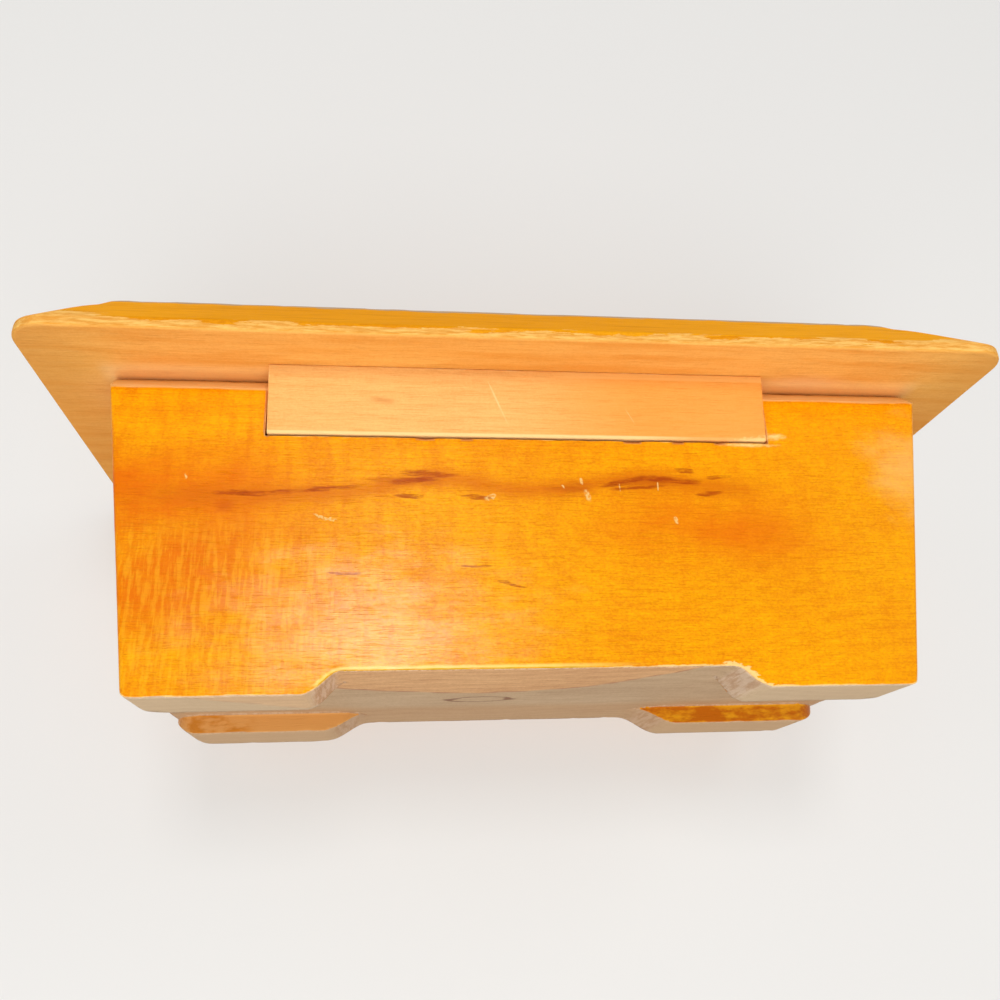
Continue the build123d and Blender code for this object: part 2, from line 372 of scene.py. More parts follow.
def carve_lid(bm):
    """Traditional chip carving on the flat of the lid: three compass flowers in a border of small chips."""
    chips = Chips((flat_middle, 0, lid_top), (1, 0, 0), (0, 1, 0), (0, 0, 1))
    u, v = flat_half_length - 6.5, flat_half_depth - 6.0
    chips.frame([(-u, -v), (u, -v), (u, v), (-u, v)], 0.75)
    u, v = u - 6.4, v - 6.4
    chips.frame([(-u, -v), (u, -v), (u, v), (-u, v)], 0.55)
    band = 3.9
    inset = 1.15
    long_count, short_count = 38, 17
    for sign in (1, -1):
        a = (-(u + inset) * sign, -(v + inset) * sign)
        b = ((u + inset) * sign, -(v + inset) * sign)
        c = ((u + inset) * sign, (v + inset) * sign)
        chips.teeth(b, a, long_count, band, 0.95)
        chips.teeth(c, b, short_count, band, 0.95)
    chips.rosette((0, 0), 27.5, turn=math.pi / 2)
    chips.ring((0, 0), 30.0, 0.6)
    for side in (1, -1):
        chips.rosette((side * 53.0, 0), 17.0, turn=0.0)
        chips.ring((side * 53.0, 0), 19.0, 0.5)
        for up in (1, -1):
            root = np.array([side * 70.5, up * 30.0])
            for lean, reach in ((-0.9, 11.0), (-0.3, 13.0), (0.3, 13.0), (0.9, 11.0)):
                angle = math.atan2(-up, -side) + lean * 0.55
                ray = np.array([math.cos(angle), math.sin(angle)])
                chips.leaf(root + ray * 4.0, root + ray * (reach + 1), 0.9)
            root = np.array([side * 33.6, up * 31.5])
            for lean in (-1.0, 0.0, 1.0):
                angle = -up * math.pi / 2 + lean * 0.62
                ray = np.array([math.cos(angle), math.sin(angle)])
                chips.leaf(root + ray * 2.2, root + ray * 9.5, 1.1)
    chips.cut(bm)


def carve_front(bm):
    """The same chip carving on the front of the body, inside a border that follows its outline."""
    chips = Chips((0, -half_depth, 0), (1, 0, 0), (0, 0, 1), (0, -1, 0))
    low, high, inset = 10.5, 66.5, 9.0
    chips.frame([(inset - side_at(-1, low), low), (side_at(1, low) - inset, low), (side_at(1, high) - inset, high),
                 (inset - side_at(-1, high), high)], 0.65)
    inset = 13.5
    top_row = high - 3.0
    chips.teeth((side_at(1, top_row) - inset, top_row), (inset - side_at(-1, top_row), top_row), 44, 3.6, 0.9)
    low_row = low + 3.0
    chips.teeth((inset - side_at(-1, low_row), low_row), (side_at(1, low_row) - inset, low_row), 38, 3.6, 0.9)
    middle = (low + high) / 2
    chips.rosette((0, middle), 16.0, turn=math.pi / 2)
    chips.ring((0, middle), 18.0, 0.5)
    for side in (1, -1):
        chips.rosette((side * 56.0, middle), 11.5, turn=math.pi / 2)
        chips.ring((side * 56.0, middle), 13.2, 0.45)
        for lean in (-1.1, -0.4, 0.4, 1.1):
            ray = np.array([side * math.cos(lean), math.sin(lean)])
            start = np.array([side * 22.5, middle])
            chips.leaf(start + ray * 1.0, start + ray * 13.0, 1.4)
    chips.cut(bm)


# Pieces

def ease_arris(bm):
    """Wears the arris between the flat of the lid and its end bevels into a soft curve."""
    points = coordinates(bm)
    base = lid_underside + lid_edge
    rise = lid_top - base
    left = (lid_half_length - points[:, 0]) * rise / lid_left_bevel
    right = (lid_half_length + points[:, 0]) * rise / lid_right_bevel
    slope = np.maximum(np.minimum(left, right), 0.01)
    share = np.clip(0.5 + 0.5 * (rise - slope) / arris_ease, 0, 1)
    soft = rise * (1 - share) + slope * share - arris_ease * share * (1 - share)
    lowered = base + (points[:, 2] - base) * soft / np.minimum(slope, rise)
    points[:, 2] = np.where(points[:, 2] > base, lowered, points[:, 2])
    move_points(bm, points)


def make_body(material):
    bm = node_bmesh("body_block")
    tree = arris_tree(bm)
    round_edges(bm, 0.4)
    carve_front(bm)
    slice_along(bm, 0, np.arange(-99, 99.5, 1.5))
    slice_along(bm, 2, [0.5, 1.2, 2.0, 3.0, 4.0, 4.9, 5.6, 6.5, 8.0] + list(np.arange(10, 71, 2.0)))
    slice_along(bm, 2, [71.6, 72.8, 74.0, 75.0])
    slice_along(bm, 1, np.arange(-34, 35, 2.0))
    soften(bm, "body_block", tree, 3)
    points = coordinates(bm)
    values = {
        "edge": edge_values(bm, tree),
        "carve": np.clip(points[:, 1] + half_depth - 0.25, 0, 3) * (points[:, 1] < -half_depth + 2.5)
        * (points[:, 2] > 8) * (points[:, 2] < 70) * (np.abs(points[:, 0]) < 78 + 0.14 * points[:, 2]),
    }
    return finish_piece(bm, "carved_body", material, "box", ["body_block"], values)


def make_lid(material):
    bm = node_bmesh("lid_board")
    tree = arris_tree(bm)
    round_edges(bm, 0.45)
    carve_lid(bm)
    slice_along(bm, 0, np.arange(-115, 115.5, 1.3))
    slice_along(bm, 1, list(np.arange(-51.5, 52, 2.0)) + [51.9, 52.3])
    slice_along(bm, 2, [76.6, 77.2, 77.8, 78.4, 79.2, 80.4, 82.0, 84.0])
    ease_arris(bm)
    soften(bm, "lid_board", tree, 11, wave=0.07, nick=0.15)
    points = coordinates(bm)
    flat = np.abs(points[:, 0] - flat_middle) < flat_half_length - 5
    flat = flat * (np.abs(points[:, 1]) < flat_half_depth - 2) * (points[:, 2] > 82)
    carve = np.clip(lid_top - 0.15 - points[:, 2], 0, 3) * flat
    values = {"edge": edge_values(bm, tree), "carve": carve}
    return finish_piece(bm, "carved_lid", material, "lid", ["lid_board"], values)


def make_block(material):
    bm = node_bmesh("hinge_block")
    tree = arris_tree(bm)
    round_edges(bm, 0.25)
    slice_along(bm, 0, np.arange(-57, 61.5, 1.5))
    slice_along(bm, 1, np.arange(23, 38.9, 2.0))
    slice_along(bm, 2, np.arange(59, 76, 1.5))
    soften(bm, "hinge_block", tree, 23, wave=0.05, nick=0.2)
    values = {"edge": edge_values(bm, tree)}
    return finish_piece(bm, "hinge_bar", material, "lid", ["hinge_block"], values)


def make_plug(side, material):
    name = "left" if side > 0 else "right"
    bm = node_bmesh("pin_plug_" + name)
    tree = arris_tree(bm)
    round_edges(bm, 0.3)
    slice_along(bm, 0, side * np.arange(93, 98.5, 1.0))
    slice_along(bm, 1, np.arange(28.4, 33, 1.0))
    slice_along(bm, 2, np.arange(63.5, 68, 1.0))
    soften(bm, "pin_plug_" + name, tree, 31 + side, wave=0.04, nick=0.1)
    values = {"edge": edge_values(bm, tree)}
    piece = finish_piece(bm, "end_plug_" + name, material, "box", ["pin_plug_" + name], values)
    return piece


def make_felt(material):
    """Felt pad with a soft napped face and slightly rolled edges."""
    low, high = (np.array(c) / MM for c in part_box("floor_lining"))
    bm = node_bmesh("floor_lining")
    round_edges(bm, 0.5, segments=3)
    slice_along(bm, 0, np.arange(-73.5, 74, 1.0))
    slice_along(bm, 1, np.arange(-20.5, 18.8, 1.0))
    bm.normal_update()
    points = coordinates(bm)
    normals = np.array([v.normal for v in bm.verts])
    nap = 0.5 + 0.25 * field(points, (1.7, 1.7, 1.7), 41) + 0.25 * field(points, (14, 9, 9), 42)
    upper = smooth(hollow_floor + 0.3, felt_top, points[:, 2])
    moved = points - normals * (0.32 * nap * upper)[:, None]
    move_points(bm, np.clip(moved, low, high))
    piece = finish_piece(bm, "felt_lining", material, "box", ["floor_lining"], {})
    return piece


# Materials

def srgb(red, green, blue):
    """A colour written as it looks on a screen, as the linear numbers that a shader needs."""
    def one(value):
        value = value / 255
        return value / 12.92 if value <= 0.04045 else ((value + 0.055) / 1.055) ** 2.4
    return (one(red), one(green), one(blue), 1.0)


class Nodes:
    """Short calls for building one material."""

    def __init__(self, name):
        self.material = bpy.data.materials.new(name)
        self.material.use_nodes = True
        self.tree = self.material.node_tree
        self.tree.nodes.clear()
        self.place = self.vector("SCALE", self.add("ShaderNodeTexCoord").outputs["Object"], scale=1 / MM)
        split = self.add("ShaderNodeSeparateXYZ")
        self.put(self.place, split.inputs[0])
        self.x, self.y, self.z = split.outputs

    def add(self, kind):
        return self.tree.nodes.new(kind)

    def put(self, value, socket):
        if isinstance(value, bpy.types.NodeSocket):
            self.tree.links.new(value, socket)
        else:
            socket.default_value = value

    def math(self, operation, a, b=0.0, c=0.0, clamp=False):
        node = self.add("ShaderNodeMath")
        node.operation = operation
        node.use_clamp = clamp
        for value, socket in zip((a, b, c), node.inputs):
            self.put(value, socket)
        return node.outputs[0]

    def plus(self, a, b):
        return self.math("ADD", a, b)

    def minus(self, a, b):
        return self.math("SUBTRACT", a, b)

    def times(self, a, b):
        return self.math("MULTIPLY", a, b)

    def most(self, a, b):
        return self.math("MAXIMUM", a, b)

    def vector(self, operation, a, b=(0, 0, 0), scale=1.0):
        node = self.add("ShaderNodeVectorMath")
        node.operation = operation
        self.put(a, node.inputs[0])
        self.put(b, node.inputs[1])
        node.inputs[3].default_value = scale
        return node.outputs[1] if operation in ("LENGTH", "DOT_PRODUCT") else node.outputs[0]

    def stretched(self, x, y, z, shift=0.0):
        """The place in mm divided by a length for each axis."""
        scaled = self.vector("MULTIPLY", self.place, (1 / x, 1 / y, 1 / z))
        return self.vector("ADD", scaled, (shift, shift * 1.7, shift * 2.3))

    def noise(self, lengths, shift=0.0, detail=2.0, rough=0.5, distortion=0.0):
        """Smooth random field from about 0.2 to 0.8 whose grains have the given lengths in mm."""
        node = self.add("ShaderNodeTexNoise")
        self.put(self.stretched(*lengths, shift=shift), node.inputs["Vector"])
        node.inputs["Scale"].default_value = 1.0
        node.inputs["Detail"].default_value = detail
        node.inputs["Roughness"].default_value = rough
        node.inputs["Distortion"].default_value = distortion
        return node.outputs[0]

    def span(self, value, low, high, to_low=0.0, to_high=1.0, kind="SMOOTHSTEP"):
        node = self.add("ShaderNodeMapRange")
        node.interpolation_type = kind
        node.clamp = True
        for number, socket in zip((value, low, high, to_low, to_high), node.inputs):
            self.put(number, socket)
        return node.outputs[0]

    def mix(self, share, a, b, mode="MIX"):
        node = self.add("ShaderNodeMix")
        node.data_type = "RGBA"
        node.blend_type = mode
        self.put(share, node.inputs["Factor"])
        self.put(a, node.inputs[6])
        self.put(b, node.inputs[7])
        return node.outputs[2]

    def attribute(self, name):
        node = self.add("ShaderNodeAttribute")
        node.attribute_name = name
        return node.outputs["Fac"]

    def normal_part(self, axis):
        split = self.add("ShaderNodeSeparateXYZ")
        self.put(self.add("ShaderNodeNewGeometry").outputs["Normal"], split.inputs[0])
        return split.outputs[axis]

    def near(self, centre, reach, wobble=None):
        """1 at a place in mm, falling to 0 at the reach, which has one number for each axis."""
        offset = self.vector("SUBTRACT", self.place, centre)
        scaled = self.vector("MULTIPLY", offset, tuple(1 / r for r in reach))
        far = self.vector("LENGTH", scaled)
        if wobble is not None:
            far = self.plus(far, wobble)
        return self.span(far, 1.0, 0.0)

    def line(self, start, end, half, place=None):
        """1 on a straight mark between two places that narrows at both ends, 0 beyond its half width."""
        a, b = Vector(start), Vector(end)
        along = (b - a).normalized()
        reach = (b - a).length / 2 + half
        offset = self.vector("SUBTRACT", place or self.place, tuple((a + b) / 2))
        run = self.times(self.vector("DOT_PRODUCT", offset, tuple(along)), 1 / reach)
        off = self.times(self.vector("LENGTH", self.vector("CROSS_PRODUCT", offset, tuple(along))), 1 / half)
        far = self.plus(self.times(self.times(run, run), self.math("ABSOLUTE", run)), self.times(off, off))
        return self.span(far, 1.0, 0.15)

    def wall_marks(self, lines, place):
        """Straight marks on the back face, each given by X and Z at both ends and a half width."""
        total = 0.0
        for x0, z0, x1, z1, half in lines:
            mark = self.line((x0, half_depth, z0), (x1, half_depth, z1), half, place)
            total = self.most(total, mark)
        return total

    def hump(self, at, reach, rise):
        """A smooth hill along X."""
        run = self.times(self.minus(self.x, at), 1 / reach)
        return self.times(self.math("EXPONENT", self.times(self.times(run, run), -1.0)), rise)

    def swayed(self, lengths, shift, reach):
        """The place in mm, moved up and down a little by a slow noise."""
        move = self.times(self.minus(self.noise(lengths, shift), 0.5), reach)
        join = self.add("ShaderNodeCombineXYZ")
        self.put(move, join.inputs[2])
        return self.vector("ADD", self.place, join.outputs[0])

    def close(self, colour, rough, height, depth=0.1, coat=0.0, coat_rough=0.3, sheen=0.0, metal=0.0, specular=0.5):
        """Ends the material. The height runs from 0 to 1 and is worth depth in mm."""
        shader = self.add("ShaderNodeBsdfPrincipled")
        self.put(colour, shader.inputs["Base Color"])
        self.put(rough, shader.inputs["Roughness"])
        bump = self.add("ShaderNodeBump")
        bump.inputs["Strength"].default_value = 1.0
        bump.inputs["Distance"].default_value = depth * MM
        self.put(height, bump.inputs["Height"])
        self.put(bump.outputs[0], shader.inputs["Normal"])
        shader.inputs["Coat Roughness"].default_value = coat_rough
        self.put(coat, shader.inputs["Coat Weight"])
        if coat != 0.0:
            self.put(bump.outputs[0], shader.inputs["Coat Normal"])
        shader.inputs["Sheen Weight"].default_value = sheen
        shader.inputs["Metallic"].default_value = metal
        shader.inputs["Specular IOR Level"].default_value = specular
        output = self.add("ShaderNodeOutputMaterial")
        self.put(shader.outputs[0], output.inputs["Surface"])
        return self.material


def grain(n, centre, pitch, wander, shift, humps=()):
    """Growth rings round an axis along X, fibres, hair lines, pores, ray flecks and specks, from 0 to 1.

    Each hump brings the rings nearer to the face round one place along X, which draws long arches there."""
    bend = n.times(n.minus(n.noise((90, 40, 40), shift), 0.5), wander)
    ripple = n.times(n.minus(n.noise((24, 7, 7), shift + 5, detail=3), 0.5), pitch * 0.9)
    y = n.plus(n.minus(n.y, centre[0]), bend)
    for at, reach, rise in humps:
        y = n.minus(y, n.hump(at, reach, rise))
    z = n.minus(n.plus(n.z, bend), centre[1])
    radius = n.math("SQRT", n.plus(n.times(y, y), n.times(z, z)))
    phase = n.math("FRACT", n.math("DIVIDE", n.plus(radius, ripple), pitch))
    late = n.times(n.span(phase, 0.25, 0.9), n.span(phase, 1.0, 0.9))
    fibre = n.noise((16, 0.55, 0.55), shift + 7, detail=4, rough=0.7)
    fine = n.noise((6, 0.2, 0.2), shift + 9, detail=3, rough=0.7)
    hair = n.span(n.noise((9, 0.34, 0.34), shift + 17, detail=2, rough=0.6), 0.52, 0.74)
    pores = n.span(n.noise((4.5, 0.16, 0.16), shift + 11, detail=1), 0.6, 0.7)
    flecks = n.noise((0.8, 5.5, 5.5), shift + 13, detail=3, rough=0.65)
    cloud = n.noise((38, 22, 22), shift + 15, detail=2)
    speck = n.noise((0.7, 0.45, 0.45), shift + 19, detail=3, rough=0.75)
    return {"late": late, "fibre": fibre, "fine": fine, "hair": hair, "pores": pores, "flecks": flecks,
            "cloud": cloud, "speck": speck}


def wood_colour(n, g, light, dark, late=0.3, fibre=0.6, hair=0.3, pores=0.15, flecks=0.2, cloud=0.5, speck=0.8,
                start=0.15):
    """Mixes the two colours of a wood by its grain."""
    share = n.plus(n.times(g["late"], late), n.times(n.minus(g["fibre"], 0.5), fibre))
    share = n.plus(share, n.times(n.minus(g["fine"], 0.5), fibre * 0.7))
    share = n.plus(share, n.times(g["hair"], hair))
    share = n.plus(share, n.times(n.minus(g["cloud"], 0.45), cloud))
    share = n.plus(share, n.times(n.minus(g["flecks"], 0.5), flecks))
    share = n.plus(share, n.times(g["pores"], pores))
    share = n.plus(share, n.times(n.minus(g["speck"], 0.5), speck))
    return n.mix(n.math("ADD", share, start, clamp=True), light, dark)


def grain_height(n, g, pore_depth=0.5):
    """Relief of the fibres and open pores."""
    height = n.plus(n.times(g["fibre"], 0.5), n.times(g["fine"], 0.35))
    height = n.plus(height, n.times(g["flecks"], 0.15))
    return n.minus(height, n.times(g["pores"], pore_depth))


# Dark threads along the long stain on the back face, and pale nicks beside them
dark_threads = [
    (72.5, 44.9, 60.0, 44.7, 0.88), (63.0, 44.6, 40.0, 46.8, 0.78), (31.5, 50.3, 18.0, 49.7, 0.88),
    (34.0, 47.6, 22.0, 49.0, 0.88), (32.6, 44.5, 26.0, 44.4, 0.55), (17.7, 44.5, 9.6, 44.1, 0.55),
    (-15.0, 47.2, -27.2, 49.7, 0.88), (-24.2, 49.8, -39.5, 48.4, 1.1), (-17.0, 46.6, -31.0, 47.6, 0.67),
    (-34.0, 51.9, -38.0, 51.3, 0.67), (-41.4, 49.7, -47.0, 50.4, 0.67), (-38.0, 45.6, -45.0, 45.9, 0.55),
    (17.9, 27.9, 10.8, 27.7, 0.44), (47.3, 26.2, 39.1, 26.1, 0.44), (11.2, 24.7, 3.1, 22.7, 0.44)
]
pale_nicks = [
    (11.6, 44.0, 10.0, 44.6, 0.8), (-10.7, 49.1, -10.9, 48.0, 0.45), (-11.7, 46.0, -12.3, 43.9, 0.75),
    (-32.4, 39.6, -32.7, 38.3, 0.55), (-19.8, 47.8, -19.9, 46.2, 0.2), (-29.1, 48.4, -29.0, 46.6, 0.22),
    (-6.2, 47.4, -6.5, 46.9, 0.3), (78.7, 49.2, 78.3, 48.4, 0.3), (50.2, 39.9, 47.6, 38.8, 0.35),
    (48.4, 38.8, 45.2, 38.6, 0.4)
]


def bare_underside(n, g):
    """Raw wood: a warm streaky strip along the back, greyer wood beyond a reddish line, and a knot."""
    tan = wood_colour(n, g, srgb(236, 190, 138), srgb(176, 116, 74), late=0.12, fibre=1.1, hair=0.35, start=0.28)
    grey = wood_colour(n, g, srgb(212, 184, 148), srgb(162, 126, 96), late=0.12, fibre=0.8, hair=0.2, start=0.3)
    x = n.minus(n.x, 8.0)
    curve = n.times(n.times(x, x), n.span(n.x, 7.0, 9.0, 0.014, 0.006))
    wave = n.times(n.minus(n.noise((16, 6, 6), 63.0, detail=2), 0.5), 5.0)
    border = n.minus(n.y, n.plus(n.plus(8.5, curve), wave))
    colour = n.mix(n.span(border, -1.5, 1.0), grey, tan)
    thread = n.times(n.span(n.math("ABSOLUTE", border), 1.1, 0.1), n.span(n.noise((9, 2, 2), 65.0, detail=2), 0.4, 0.6))
    colour = n.mix(n.times(thread, 0.6), colour, srgb(160, 94, 70))
    bend = n.times(n.minus(n.noise((5, 4, 4), 67.0, detail=2), 0.5), 0.7)
    offset = n.vector("SUBTRACT", n.place, (11.0, -1.0, foot_height))
    knot = n.plus(n.vector("LENGTH", n.vector("MULTIPLY", offset, (1 / 8.2, 1 / 3.4, 0.2))), bend)
    loop = n.span(n.math("ABSOLUTE", n.minus(knot, 0.95)), 0.2, 0.05)
    loop = n.times(loop, n.span(n.noise((4, 2, 2), 69.0, detail=2), 0.3, 0.5, 0.4, 1.0))
    colour = n.mix(n.times(loop, 0.75), colour, srgb(124, 80, 60))
    # End grain on the ogee curves, paler and in long streaks that fan out over the curve
    slope = n.span(n.normal_part(2), -0.98, -0.86)
    fan = n.noise((0.9, 9, 0.9), 87.0, detail=3, rough=0.6)
    end_grain = n.mix(n.span(fan, 0.4, 0.62), srgb(238, 212, 188), srgb(196, 150, 120))
    colour = n.mix(n.times(slope, 0.45), colour, end_grain)
    colour = n.mix(n.times(n.span(n.z, 1.2, 0.4), 0.5), colour, srgb(222, 196, 160))
    return n.mix(n.times(n.span(n.y, -6, -16), 0.4), colour, srgb(196, 146, 98))


def stained_body_material():
    n = Nodes("stained_body")
    g = grain(n, (-8.0, 46.0), 2.6, 6.0, 1.0, humps=[(24, 15, 5.0), (-27, 30, 14.0)])
    edge = n.attribute("edge")
    carve = n.attribute("carve")
    back = n.span(n.y, 30, 34)
    amber = wood_colour(n, g, srgb(254, 176, 0), srgb(216, 106, 0), late=0.1, fibre=0.7, flecks=0.12, hair=0.12)
    # The stain is cloudy, in upright bands towards the left end, with a fine speckle
    bands = n.minus(n.noise((3.2, 9, 13), 91.0, detail=3, rough=0.6), 0.5)
    cloudy = n.plus(n.times(bands, n.span(n.x, -30, 60, 0.6, 1.6)), n.times(n.minus(g["speck"], 0.5), 1.1))
    amber = n.mix(n.math("ADD", cloudy, 0.16, clamp=True), amber, srgb(222, 108, 0))
    # Redder stain at the left end, low in the middle and along one streak
    left = n.times(n.span(n.x, 34, 84), n.span(n.z, 62, 48))
    left = n.times(left, n.span(n.z, 6, 26, 0.3, 1.0))
    middle = n.near((-42, half_depth, 36), (46, 30, 17))
    patches = n.span(n.noise((26, 12, 12), 19.0, detail=3), 0.35, 0.62, 0.45, 1.0)
    orange = n.times(n.times(n.most(left, n.times(middle, 0.8)), patches), n.span(n.y, -20, 20, 0.35, 1.0))
    amber = n.mix(n.times(orange, 0.85), amber, srgb(228, 102, 0))
    comb = n.span(n.noise((0.9, 6, 6), 27.0, detail=3, rough=0.6), 0.44, 0.62)
    comb = n.times(n.times(comb, n.span(n.x, 20, 60)), n.span(n.z, 44, 28))
    amber = n.mix(n.times(comb, 0.3), amber, srgb(255, 196, 40))
    # The long stain, which rises over two low humps
    height = n.plus(n.plus(n.plus(46.2, n.times(n.x, -0.0245)), n.hump(24, 13, 3.2)), n.hump(-25, 14, 2.3))
    wave = n.times(n.minus(n.noise((14, 10, 10), 21.0, detail=2), 0.5), 2.4)
    off = n.math("ABSOLUTE", n.minus(n.z, n.plus(height, wave)))
    along = n.times(n.span(n.x, 98, 70, 0.2, 1.0), n.span(n.x, -62, -42))
    streak = n.times(n.times(n.span(off, 4.2, 0.0), along), back)
    heart = n.times(n.near((-26, half_depth, 48.5), (26, 20, 5.5)), back)
    amber = n.mix(n.times(n.most(streak, n.times(heart, 0.9)), 0.7), amber, srgb(214, 108, 0))
    smudge = n.times(n.minus(n.noise((7, 2, 1.4), 25.0, detail=3, rough=0.6), 0.5), 2.0)
    core = n.most(n.near((-27, half_depth, 48.6), (15, 9, 2.0), smudge), n.near((-9, half_depth, 46.5), (8, 9, 2.4), smudge))
    core = n.most(core, n.near((30, half_depth, 48.2), (11, 9, 1.5), smudge))
    amber = n.mix(n.times(core, 0.6), amber, srgb(186, 82, 0))
    spot = n.near((69.5, half_depth, 41.8), (3.6, 9, 2.4), n.times(n.minus(n.noise((2, 2, 2), 29.0), 0.5), 0.6))
    amber = n.mix(n.times(spot, 0.7), amber, srgb(206, 92, 0))
    # A pale painted reflection: a veil high on the back towards the right end
    patchy = n.times(n.minus(n.noise((7, 4, 5), 99.0, detail=3, rough=0.6), 0.5), 1.4)
    painted_reflection_veil = n.near((-92, half_depth, 53), (13, 9, 17), patchy)
    amber = n.mix(n.times(painted_reflection_veil, 0.5), amber, srgb(252, 196, 110))
    swayed = n.swayed((6, 3, 1.2), 33.0, 1.6)
    threads = n.wall_marks(dark_threads, swayed)
    threads = n.times(threads, n.span(n.noise((4, 1, 0.5), 23.0, detail=3, rough=0.7), 0.32, 0.6, 0.2, 1.0))
    amber = n.mix(n.times(threads, 0.75), amber, srgb(158, 48, 0))
    # Bare wood below, in the hollow and in the notch
    hollow_wood = wood_colour(n, g, srgb(240, 196, 140), srgb(196, 136, 84), late=0.3)
    raw = n.mix(n.span(n.z, 9.0, 10.0), bare_underside(n, g), hollow_wood)
    facing_down = n.span(n.normal_part(2), -0.4, -0.65)
    bare = n.times(facing_down, n.span(n.z, 9.0, 7.0))
    uneven_edge = n.times(n.minus(n.noise((9, 4, 4), 85.0, detail=3, rough=0.6), 0.5), 3.0)
    inside = n.times(n.span(n.plus(n.math("ABSOLUTE", n.y), uneven_edge), 24.4, 23.8), n.span(n.z, 13.0, 13.6))
    inside = n.times(inside, n.span(n.minus(n.x, n.times(n.z, 0.14)), 82.4, 81.4))
    inside = n.times(inside, n.span(n.plus(n.x, n.times(n.z, 0.2)), -79.3, -78.3))
    notch = n.times(n.times(n.span(n.z, 56.0, 56.6), n.span(n.y, 21.0, 21.6)), n.span(n.normal_part(1), 0.95, 0.8))
    notch = n.times(notch, n.times(n.span(n.x, -58.4, -58.1), n.span(n.x, 62.6, 62.3)))
    bare = n.most(bare, inside)
    # The inner faces of the front feet took little stain, least at the left end
    front_foot = n.times(n.span(n.y, -10, -12), n.span(n.z, 5.2, 4.6))
    front_foot = n.times(front_foot, n.span(n.y, -30, -27))
    blots = n.span(n.noise((7, 3, 3), 71.0, detail=3, rough=0.65), 0.4, 0.62)
    pale_foot = n.mix(n.times(blots, n.span(n.x, 66, 72)), srgb(228, 162, 90), srgb(208, 130, 44))
    amber_foot = n.mix(blots, srgb(240, 166, 30), srgb(206, 112, 20))
    foot = n.mix(n.span(n.x, -5, 5), amber_foot, pale_foot)
    amber = n.mix(front_foot, amber, foot)
    colour = n.mix(n.most(bare, notch), amber, n.mix(notch, raw, srgb(222, 138, 70)))
    # Worn pale edges, with a line of thick varnish over the left ogee and the arch and a painted highlight beside it
    ragged = n.noise((7, 2.5, 2.5), 31.0, detail=4, rough=0.7)
    low_edge = n.times(n.span(n.z, 12, 8), back)
    corner = n.near((-44, half_depth, 3.0), (13, 6, 6))
    width = n.plus(n.span(ragged, 0.35, 0.65, 0.15, 0.45), n.times(corner, n.span(ragged, 0.4, 0.6, 0.3, 1.5)))
    width = n.times(width, n.span(low_edge, 0.0, 1.0, 0.35, 1.0))
    worn = n.times(n.span(n.minus(edge, width), 0.12, -0.06), n.minus(1.0, bare))
    bead = n.times(n.span(n.x, -25, 0), n.span(n.x, 66, 56))
    bead = n.times(n.times(bead, low_edge), n.span(n.z, 1.2, 2.4))
    colour = n.mix(n.times(worn, 0.85), colour, n.mix(bead, srgb(250, 216, 140), srgb(214, 168, 6)))
    # A painted highlight: a cream line on the varnish just beside the edge over the ogee and the arch
    bead_highlight = n.times(n.times(n.span(edge, 1.3, 0.7), n.span(edge, 0.3, 0.5)), bead)
    colour = n.mix(n.times(n.times(bead_highlight, n.minus(1.0, bare)), 0.7), colour, srgb(255, 226, 120))
    below = n.span(n.minus(n.z, n.times(n.noise((12, 6, 6), 81.0), 1.2)), rim_height - rim_bevel_drop - 0.9,
                   rim_height - rim_bevel_drop - 0.2)
    rim = n.times(below, n.span(n.math("ABSOLUTE", n.y), half_depth - rim_bevel_inset - 0.6, half_depth - rim_bevel_inset))
    rim = n.times(rim, n.minus(1.0, bare))
    tan = n.mix(n.span(g["fibre"], 0.4, 0.65), srgb(255, 222, 160), srgb(250, 200, 124))
    colour = n.mix(n.times(rim, 0.92), colour, tan)
    frayed = n.times(n.minus(n.noise((1.5, 1, 0.7), 95.0, detail=3, rough=0.65), 0.5), 1.6)
    notch_wear = n.near((-59.6, half_depth, 60.9), (3.6, 3, 1.3), frayed)
    notch_wear = n.most(notch_wear, n.near((-53.0, half_depth, 58.6), (9.0, 3, 0.7), frayed))
    colour = n.mix(n.times(n.times(notch_wear, back), 0.9), colour, srgb(255, 218, 140))
    colour = n.mix(n.times(n.span(carve, 0.0, 0.8), 0.8), colour, srgb(140, 62, 4))
    nick = n.wall_marks(pale_nicks, n.swayed((0.8, 0.8, 0.8), 35.0, 1.2))
    nick = n.times(nick, n.span(n.noise((0.7, 0.7, 0.7), 37.0, detail=3), 0.4, 0.55, 0.2, 1.0))
    colour = n.mix(n.times(nick, 0.8), colour, srgb(246, 206, 128))
    rough = n.plus(0.3, n.times(n.minus(g["fine"], 0.5), 0.2))
    rough = n.plus(rough, n.times(n.most(n.most(bare, rim), worn), 0.35))
    height = n.minus(grain_height(n, g), n.times(nick, 0.8))
    # The varnish lies thicker low on the back
    uneven = n.times(n.minus(n.noise((9, 5, 4), 83.0, detail=4, rough=0.65), 0.5), 1.6)
    gloss = n.near((38, half_depth, 13), (46, 12, 24), uneven)
    gloss = n.times(gloss, n.minus(1.0, n.most(bare, n.most(rim, worn))))
    return n.close(colour, rough, height, depth=0.07, coat=gloss, coat_rough=0.3, specular=0.09)


